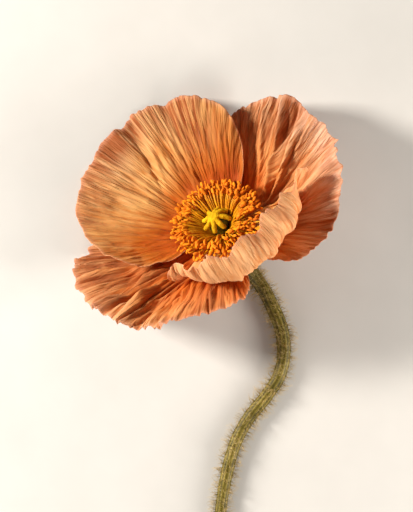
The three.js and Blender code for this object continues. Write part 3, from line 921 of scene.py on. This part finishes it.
# %% [markdown]
# A voxel remesh fills the joined form with small cubes and wraps a skin round them. A light smoothing takes
# out the steps. Then noise pushes the skin in and out, so that it looks grown.

# %% Stigma
STIGMA_RAYS = 8
STIGMA_TOP = 10.1
RAY_SIDES = 14
STIGMA_VOXEL = 0.13
SOFTENING_PASSES = 6


def read_points(mesh):
    points = np.zeros(len(mesh.vertices) * 3, np.float32)
    mesh.vertices.foreach_get("co", points)
    return points.reshape(-1, 3) / MM


def write_points(mesh, points):
    mesh.vertices.foreach_set("co", (np.asarray(points) * MM).astype(np.float32).ravel())
    mesh.update()


def grow_stigma():
    draw = np.random.default_rng(11)
    hub = np.array([(0.1, 8.3), (1.2, 8.4), (1.9, 8.9), (1.85, 9.5), (1.2, 9.95), (0.1, 10.0)])
    turn = np.arange(0, 360, 15)
    meshes = [(bloom_point(hub[:, :1], turn, hub[:, 1:]), rings_to_faces(len(hub), len(turn)))]
    for k in range(STIGMA_RAYS):
        azimuth = k * 360 / STIGMA_RAYS + 10 + draw.uniform(-5, 5)
        out = np.linspace(0, 1, 9)
        reach = 0.4 + (3.9 + draw.uniform(-0.3, 0.3)) * out
        droop = 2.4 * out**1.5 + 0.15 * np.sin(out * 9 + k)
        bow = draw.uniform(-7, 7) * np.sin(out * 3)
        points = bloom_point(reach, azimuth + bow, STIGMA_TOP - 0.78 - droop)
        radii = np.interp(out, [0, 0.4, 0.85, 1], [0.62, 0.74, 0.84, 0.78])
        points, radii = rounded(points, radii)
        meshes.append((tube_rings(points, radii, RAY_SIDES, AXIS), rings_to_faces(len(points), RAY_SIDES)))
    piece = joined("stigma_rays", meshes)
    remesh = piece.modifiers.new("fuse", "REMESH")
    remesh.mode, remesh.voxel_size = "VOXEL", STIGMA_VOXEL * MM
    piece.modifiers.new("soften", "SMOOTH").iterations = SOFTENING_PASSES
    baked(piece)
    points = read_points(piece.data)
    normals = np.zeros(points.size, np.float32)
    piece.data.vertices.foreach_get("normal", normals)
    lumps = noise(points[:, 0] * 1.4 + points[:, 2], points[:, 1] * 1.4 - points[:, 2], 90)
    fuzz = noise(points[:, 0] * 4 + points[:, 2] * 3, points[:, 1] * 4 - points[:, 2] * 3, 91)
    write_points(piece.data, points + normals.reshape(-1, 3) * (0.09 * lumps + 0.05 * fuzz)[:, None])
    print("stigma", len(piece.data.polygons), "faces")
    return piece


stigma = grow_stigma()

# %% [markdown]
# The ovary is a lathe form, a profile turned about the axis, with shallow ribs that fade towards its foot.

# %% Ovary
OVARY_RINGS = 46


def grow_ovary():
    reaches = [0.1, 1.9, 2.3, 2.7, 3.0, 3.2, 2.9, 2.1, 1.3, 0.1]
    heights = [1.6, 1.6, 2.4, 3.3, 4.2, 5.4, 6.6, 7.6, 8.1, 8.1]
    place, index = np.linspace(0, len(reaches) - 1, OVARY_RINGS), np.arange(len(reaches))
    reach, height = np.interp(place, index, reaches), np.interp(place, index, heights)
    for _ in range(3):
        reach[1:-1] = (reach[:-2] + 2 * reach[1:-1] + reach[2:]) / 4
    turn = np.arange(0, 360, 3)
    ribs = 1 + 0.035 * np.cos(np.radians(turn) * STIGMA_RAYS * 2) * smooth(1.6, 4, height)[:, None]
    points = bloom_point(reach[:, None] * ribs, turn, height[:, None])
    return new_piece("ovary_case", points.reshape(-1, 3), rings_to_faces(OVARY_RINGS, len(turn)))


ovary = grow_ovary()
SEED_CASE = [(0.3, (0.05, 0.075, 0.015)), (0.55, (0.12, 0.15, 0.035)), (0.75, (0.22, 0.24, 0.07))]
VELVET = [(0.36, (0.36, 0.17, 0.001)), (0.5, (0.58, 0.31, 0.002)), (0.64, (0.76, 0.46, 0.005))]


def stigma_look():
    look = Look("stigma")
    place = look.place()
    cloud, grain, nap = look.noise(place, 260, 3), look.noise(place, 1500, 3), look.noise(place, 4500, 2)
    colour = look.ramp(cloud * 0.6 + grain * 0.4, VELVET)
    normal = look.bump(grain * 0.5 + nap * 0.5, 0.00022)
    sheen = {"Sheen_Weight": 0.3, "Sheen_Roughness": 0.4, "Sheen_Tint": (0.9, 0.65, 0.02)}
    return look.finish(look.surface(colour, nap * 0.2 + 0.7, normal, Specular_IOR_Level=0.15, **sheen))


stigma.data.materials.append(stigma_look())
ovary.data.materials.append(grain_look("ovary", 600, 4, SEED_CASE, 0.45, 0.2, 0.00012))
print("pistil finished")

# %% [markdown]
# The stem follows the line of its solid: down the bloom's axis, round an arc to the table and along it. A
# centripetal spline joins the points, the kind that never loops between close ones.

# %% The stem's centre line
STEM_ON_TABLE = [
    (16, -24.5), (19, -32), (19.6, -40), (18, -47), (13.9, -53.5), (8.6, -60),
    (4.6, -67), (1.9, -75), (0, -84), (-1.2, -93), (-2, -104), (-2.3, -116),
]
NECK_RADIUS = 26.6
NECK_START = 3.2
RADIUS_TOP, RADIUS_CUT = 2.4, 1.7


def neck_points(turned):
    """Centre line under the bloom: straight down its axis, then an arc that ends level."""
    start = math.pi / 2 - TILT
    run = NECK_RADIUS * (math.sin(start) - np.sin(start - turned))
    drop = NECK_RADIUS * (np.cos(start - turned) - math.cos(start))
    return bloom_point(0, 0, -NECK_START) - LEAN * run[:, None] - UP * drop[:, None]


def through(points, steps):
    """Evenly spaced points on a centripetal spline through the given ones."""
    ends = [2 * points[0] - points[1], 2 * points[-1] - points[-2]]
    all_points = np.concatenate([ends[:1], points, ends[1:]])
    pieces = []
    for p0, p1, p2, p3 in zip(all_points, all_points[1:], all_points[2:], all_points[3:]):
        d0, d1, d2 = (math.sqrt(np.linalg.norm(b - a)) for a, b in ((p0, p1), (p1, p2), (p2, p3)))
        leave = ((p1 - p0) / d0 - (p2 - p0) / (d0 + d1) + (p2 - p1) / d1) * d1
        arrive = ((p2 - p1) / d1 - (p3 - p1) / (d1 + d2) + (p3 - p2) / d2) * d1
        pieces.append(cubic(p1, p2, leave, arrive, np.linspace(0, 1, 40, endpoint=False)[:, None]))
    line = np.concatenate([*pieces, points[-1:]])
    length = length_along(line)
    even = np.linspace(0, length[-1], steps)
    return np.stack([np.interp(even, length, line[:, k]) for k in range(3)], 1), length[-1]


neck = neck_points(np.linspace(0, math.pi / 2 - TILT, 8))
lying = np.array([(FLOWER_AT[0] + x, FLOWER_AT[1] + y, 0) for x, y in STEM_ON_TABLE])
stem_line, stem_length = through(np.concatenate([neck, lying]), 420)
print("stem is", round(stem_length), "mm long")

# %% [markdown]
# The receptacle, where the petals are seated, is the swollen top of the stem, so it is the same mesh. The
# section carries ribs, and the lowest are pressed flat on the table. Towards the bloom the stem is painted
# darker, as painted shadow of the bloom.

# %% Stem
STEM_SIDES = 48


def grow_stem():
    radii = np.linspace(RADIUS_TOP, RADIUS_CUT, len(stem_line))
    line = stem_line.copy()
    line[:, 2] = np.maximum(line[:, 2], radii * 0.96)
    heights = np.array([1.3, 1.28, 1.2, 0.95, 0.3, -0.5, -1.3, -1.8, -2.3, -2.8])
    swell = np.array([0.1, 2.4, 3.0, 3.35, 3.4, 3.4, 3.3, 3.0, 2.65, 2.45])
    points = np.concatenate([bloom_point(0, 0, heights), line])
    radii = np.concatenate([swell, radii])
    turn = np.linspace(0, 2 * math.pi, STEM_SIDES, endpoint=False)
    far = np.arange(len(points))[:, None] / len(points)
    ribs = np.cos(10 * turn + 0.8 * np.sin(far * 9)) + 0.5 * noise(turn * 4 / math.pi, far * 30, 70)
    fade = smooth(-0.02, 0.04, far - 6 / len(points))
    section = 1 + 0.045 * ribs * fade + 0.02 * noise(far * 25, 0.5, 71) * fade
    rings = tube_rings(points, radii, STEM_SIDES, UP, section)
    rings[..., 2] = np.maximum(rings[..., 2], 0.0)
    piece = new_piece("stem_skin", rings.reshape(-1, 3), rings_to_faces(len(points), STEM_SIDES))
    store(piece, "ridge", np.broadcast_to(ribs, radii.shape + (STEM_SIDES,)))
    store(piece, "far", np.repeat(far, STEM_SIDES))
    print("stem", len(piece.data.polygons), "faces")
    return piece


stem = grow_stem()
STEM_GREEN = [(0.25, (0.04, 0.033, 0.003)), (0.5, (0.14, 0.108, 0.014)), (0.8, (0.34, 0.265, 0.06))]


def stem_look():
    look = Look("stem")
    place = look.place()
    ridge, far = look.attribute("ridge", "Fac"), look.attribute("far", "Fac")
    cloud, grain = look.noise(place, 160, 3), look.noise(place, 1100, 4)
    tone = ridge * 0.13 + cloud * 0.6 + grain * 0.35
    # Painted shadow of the bloom: the stem darkens towards it.
    shaded_top = look.colours(far.span(0.0, 0.35, 0.85, 0), look.ramp(tone, STEM_GREEN), (0.03, 0.024, 0.003))
    normal = look.bump(grain * 0.6 + cloud * 0.4, 0.0002, 0.8)
    return look.finish(look.surface(shaded_top, grain * 0.2 + 0.4, normal, Specular_IOR_Level=0.22))


stem.data.materials.append(stem_look())

# %% [markdown]
# Bristly hairs stand out all over the stem and bend over at the tip. Three forms are drawn once. The tree
# scatters points over the skin from a fixed seed, leaves out the side on the table, the receptacle and the
# cut, and stands one form on each point, turned and leaned at random.

# %% Hairs of the stem
HAIR_BENDS = (0.15, 0.45, 0.75)
HAIR_TAPER = 0.026
HAIRS_PER_SQUARE_MM = 1.9
LONGEST_HAIR = 3.7
BRISTLE = [(0.0, (0.17, 0.12, 0.02)), (0.45, (0.36, 0.24, 0.07)), (1, (0.68, 0.5, 0.24))]


def hair_form(name, bend):
    """One hair, a unit long, that stands along Z and bends over."""
    out = np.linspace(0, 1, 6)
    line = np.stack([bend * out**2.2, 0.06 * np.sin(out * 7), out - 0.25 * bend * out**2.2], 1)
    rings = tube_rings(line, HAIR_TAPER * (1 - 0.8 * out), 3, np.array([0.0, 1.0, 0.0]))
    form = helper_piece(name, rings.reshape(-1, 3), rings_to_faces(6, 3))
    store(form, "along", np.repeat(out, 3))
    return form


def hair_look():
    look = Look("hair")
    along, cloud = look.attribute("along", "Fac"), look.noise(look.place(), 300, 2)
    colour = look.ramp(along + (cloud - 0.5) * 0.6, BRISTLE)
    normal = look.bump(cloud, 0.00005)
    return look.finish(look.surface(colour, cloud * 0.2 + 0.35, normal, Specular_IOR_Level=0.4))


def grow_hairs():
    piece = new_piece("stem_hairs", [(0, 0, 0)], [])
    forms = {f"hair_{k}": hair_form(f"hair_form_{k}", bend) for k, bend in enumerate(HAIR_BENDS)}
    sizes = dict(hairs_per_area=HAIRS_PER_SQUARE_MM / MM / MM, longest=LONGEST_HAIR, seed=3)
    tree = Growth("stem_hairs_growth", skin=stem, **sizes, finish=hair_look(), **forms)
    facing = tree.add("ShaderNodeSeparateXYZ", None, {0: tree.add("GeometryNodeInputNormal")}, "Z")
    far = tree.named("far")
    on_side = far.math("GREATER_THAN", 0.02) * far.math("LESS_THAN", 0.9994)  # not the receptacle or the cut
    spread = {
        "Mesh": tree.form("skin"),
        "Selection": facing.math("GREATER_THAN", -0.45) * on_side,  # not the side on the table
        "Density": tree.input("hairs_per_area"),
        "Seed": tree.input("seed"),
    }
    roots = tree.add("GeometryNodeDistributePointsOnFaces", None, spread)
    upright = Wire(tree, roots.socket.node.outputs["Rotation"])
    stand = {
        "Points": roots,
        "Instance": tree.gathered("GeometryNodeGeometryToInstance", [tree.form(title) for title in forms]),
        "Pick Instance": True,
        "Rotation": tree.turned(upright, (-0.5, -0.5, 0.0), (0.5, 0.5, 6.28)),
        "Scale": tree.sized(0.45, 1.0, "longest"),
    }
    hairs = tree.add("GeometryNodeInstanceOnPoints", None, stand)
    hairs = tree.add("GeometryNodeRealizeInstances", None, {0: hairs})
    tree.apply(piece, tree.painted(hairs, "finish"))
    points = read_points(piece.data)
    points[:, 2] = np.maximum(points[:, 2], 0.02)
    write_points(piece.data, points)
    return piece


hairs = grow_hairs()

# %% [markdown]
# Every piece rides on the one body of the part and stands for its solid, which is hidden. The hairs have no
# solid of their own.

# %% Tie the pieces to the frame
TIES = [(petals[name], petal["slot"], [name]) for name, petal in PETALS.items()]
TIES += [(stamens, "stamens", ["stamens"]), (stigma, "stigma", ["stigma"]), (ovary, "ovary", ["ovary"])]
TIES += [(stem, "stem", ["stem"]), (hairs, "stem", [])]
for piece, slot, nodes in TIES:
    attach(piece, "root")
    if nodes:
        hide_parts(*nodes)
bare = set(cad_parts) - {node for tie in TIES for node in tie[2]}
print(len(TIES), "pieces, nodes left bare:", sorted(bare))

# %% [markdown]
# The setting is plain: a pale matt table under a pale sky, with one soft window on the left. The outer side
# of an upright petal faces away from it, so a low reflector on the right and a weak bounce from below left
# light that side, and a faint fill opens the shadows. The camera looks straight down.

# %% Table, light and camera
TABLE_TONES = [(0.3, (0.5, 0.49, 0.475)), (0.7, (0.53, 0.52, 0.505))]
CAMERA_AT = (0.5, 28.32, 614)
FOCAL_LENGTH = 131.84

table = new_piece("table", [(-900, -900, 0), (900, -900, 0), (900, 900, 0), (-900, 900, 0)], [(0, 1, 2, 3)])
table.data.materials.append(grain_look("table", 40, 3, TABLE_TONES, 0.75, 0.1, 0.00005))
table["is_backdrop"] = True


def soft_light(name, place, aim, size, watts, colour):
    lamp = bpy.data.lights.new(name, "AREA")
    lamp.shape = "RECTANGLE"
    lamp.size, lamp.size_y = (value * MM for value in size)
    lamp.energy = watts
    lamp.color = colour
    holder = bpy.data.objects.new(name, lamp)
    bpy.context.scene.collection.objects.link(holder)
    holder.location = Vector(place) * MM
    holder.rotation_euler = (Vector(aim) - Vector(place)).to_track_quat("-Z", "Y").to_euler()


soft_light("window", (-445, 150, 270), (0, 25, 10), (110, 110), 6.0, (1.0, 0.94, 0.85))
soft_light("reflector", (450, -120, 210), (10, 20, 25), (220, 220), 3.8, (1.0, 0.93, 0.84))
soft_light("bounce", (-230, -380, 190), (0, 15, 20), (240, 240), 1.1, (1.0, 0.94, 0.86))
soft_light("fill", (300, 320, 330), (0, 20, 10), (400, 400), 0.15, (1.0, 0.96, 0.92))

world = bpy.data.worlds.new("pale_sky")
world.use_nodes = True
world.node_tree.nodes["Background"].inputs["Color"].default_value = (1.0, 0.97, 0.93, 1)
world.node_tree.nodes["Background"].inputs["Strength"].default_value = 0.12
bpy.context.scene.world = world
bpy.context.scene.view_settings.view_transform = "Standard"

lens = bpy.data.cameras.new("above")
lens.sensor_width = 36
lens.lens = FOCAL_LENGTH
lens.clip_start, lens.clip_end = 0.05, 5
camera = bpy.data.objects.new("above", lens)
camera.location = [value * MM for value in CAMERA_AT]
bpy.context.scene.collection.objects.link(camera)
bpy.context.scene.camera = camera
print("camera at", [round(value / MM) for value in camera.location], "mm")

# %% [markdown]
# Last, the sizes. The dressed flower stays in the solids' box, apart from a few millimetres of hair and
# ruffle, so both boxes are printed.

# %% Keep the sizes and finish
seen_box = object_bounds()
sizes = {"cad": [list(corner) for corner in cad_box], "visual": [list(corner) for corner in seen_box]}
for key, box in sizes.items():
    print(key, "box in mm:", [[round(value / MM, 1) for value in corner] for corner in box])
